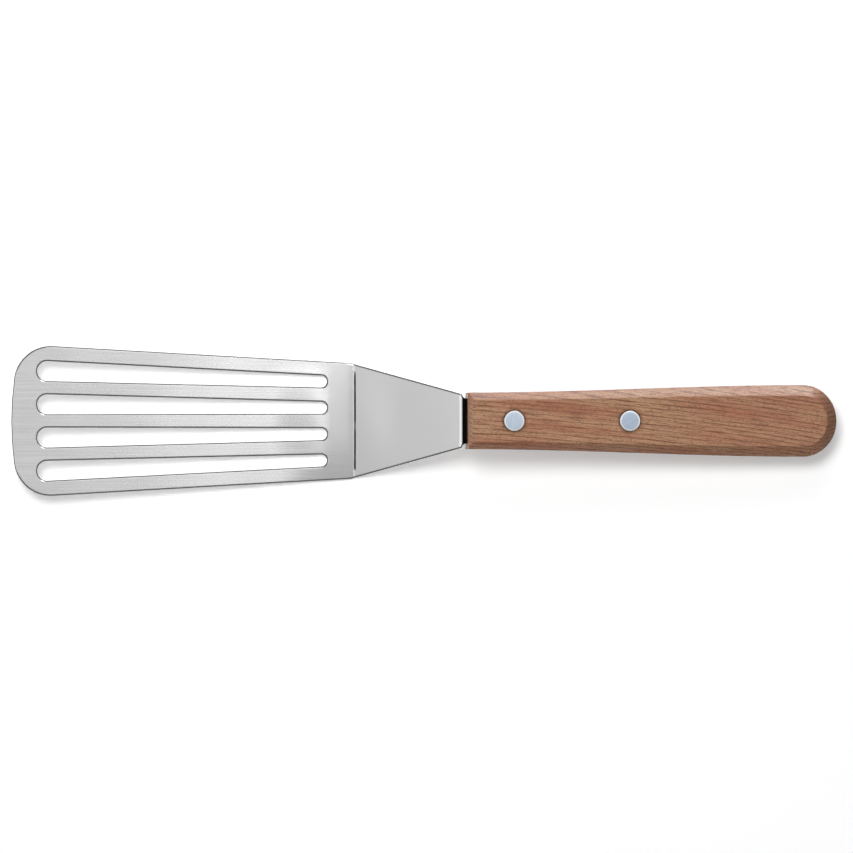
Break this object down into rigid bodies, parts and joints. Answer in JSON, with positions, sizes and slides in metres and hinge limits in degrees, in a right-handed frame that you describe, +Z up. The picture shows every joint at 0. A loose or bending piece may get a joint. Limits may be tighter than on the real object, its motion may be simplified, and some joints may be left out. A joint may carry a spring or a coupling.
{
  "type": "slotted offset spatula",
  "caption": "Kitchen turner with a flat tapering steel blade, long drain slots, a raised offset neck and a riveted wooden handle.",
  "frame": {"origin": "under the middle of the tool's bounding box, on the surface that it lies on", "axes": "+X along the tool from the blade's tip to the handle's butt, +Y across it, to the right of someone who holds the handle with the blade pointing away, +Z up"},
  "size_m": [0.2798, 0.0508, 0.025],
  "materials": {
    "steel": "stainless steel, finely brushed along the tool",
    "wood": "reddish-brown fruitwood, sanded and oiled to a low sheen",
    "rivet_metal": "aluminium, turned and satin"
  },
  "bodies": {
    "root": {"blade": "steel", "handle": "wood", "front_rivet_post": "rivet_metal", "front_rivet_sleeve": "rivet_metal", "rear_rivet_post": "rivet_metal", "rear_rivet_sleeve": "rivet_metal"}
  },
  "joints": []
}
